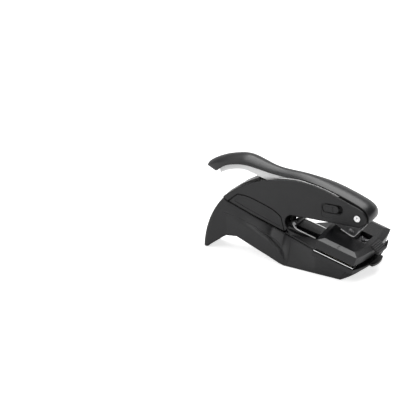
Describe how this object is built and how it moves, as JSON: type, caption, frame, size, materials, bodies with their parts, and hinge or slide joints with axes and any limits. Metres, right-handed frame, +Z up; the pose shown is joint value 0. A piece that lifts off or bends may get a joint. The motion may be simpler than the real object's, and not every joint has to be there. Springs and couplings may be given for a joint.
{
  "type": "desk seal embosser",
  "caption": "Desk seal embosser: a long curved handle hinged at the front presses a roller onto a tilted slide-in clip that holds two flat dies, on a flared base.",
  "frame": {"origin": "under the middle of the whole at rest, on the desk", "axes": "+X forward from the rear foot to the thumb tab, +Y to the left side, +Z up from the desk"},
  "size_m": [0.1473, 0.064, 0.0787],
  "materials": {
    "black_body": "satin",
    "cover_black": "satin",
    "crest_black": "gloss",
    "jaw_black": "satin",
    "lever_steel": "satin",
    "steel": "satin",
    "bright_steel": "polished",
    "dark_steel": "satin",
    "rubber": "matte",
    "die_brass": "satin",
    "die_resin": "satin"
  },
  "bodies": {
    "frame": {"base_shell": "black_body", "rubber_feet": "rubber", "rear_foot_pad": "rubber", "base_screws": "steel", "deck_plate": "black_body", "casing_right": "black_body", "casing_left": "black_body", "casing_screws": "steel", "crest_cap": "crest_black", "side_panel_right": "black_body", "side_panel_left": "black_body", "frame_plate_right": "steel", "frame_plate_left": "steel", "frame_spacers": "steel", "frame_rivets": "steel", "anvil_plate": "steel", "main_pin": "bright_steel", "return_spring": "steel"},
    "lock": {"lock_slider": "black_body"},
    "handle": {"handle_cover": "cover_black", "handle_lever": "lever_steel", "cover_screws": "steel", "presser_foot": "dark_steel", "presser_rivets": "steel", "roller_axle": "dark_steel", "pressure_leaf": "bright_steel"},
    "roller": {"press_roller": "steel"},
    "clip": {"clip_lower_jaw": "jaw_black", "lower_plate": "bright_steel", "lower_die": "die_brass", "clip_hinge_pin": "steel", "jaw_spring": "bright_steel"},
    "upper_jaw": {"clip_upper_jaw": "jaw_black", "thumb_tab": "black_body", "tab_horn": "black_body", "clip_catch": "dark_steel", "upper_die": "die_resin"}
  },
  "joints": [
    {"name": "handle_hinge", "type": "hinge", "parent": "frame", "child": "handle", "pos_m": [0.05565, 0, 0.0452], "axis": [0, 1, 0], "range_deg": [0, 25]},
    {"name": "roller_spin", "type": "hinge", "parent": "handle", "child": "roller", "pos_m": [0.04915, 0, 0.0325], "axis": [0, 1, 0], "continuous": true},
    {"name": "clip_slide", "type": "slide", "parent": "frame", "child": "clip", "axis": [0.9588, 0, -0.284], "range_m": [0, 0.025]},
    {"name": "jaw_hinge", "type": "hinge", "parent": "clip", "child": "upper_jaw", "pos_m": [0.0023, 0, 0.03108], "axis": [0, -1, 0], "range_deg": [0, 1.3]},
    {"name": "lock_slide", "type": "slide", "parent": "frame", "child": "lock", "axis": [0.9997, -0.023, 0], "range_m": [0, 0.0035]}
  ],
  "couplings": [
    {"joint": "jaw_hinge", "follows": "handle_hinge", "ratio": 0.05}
  ]
}
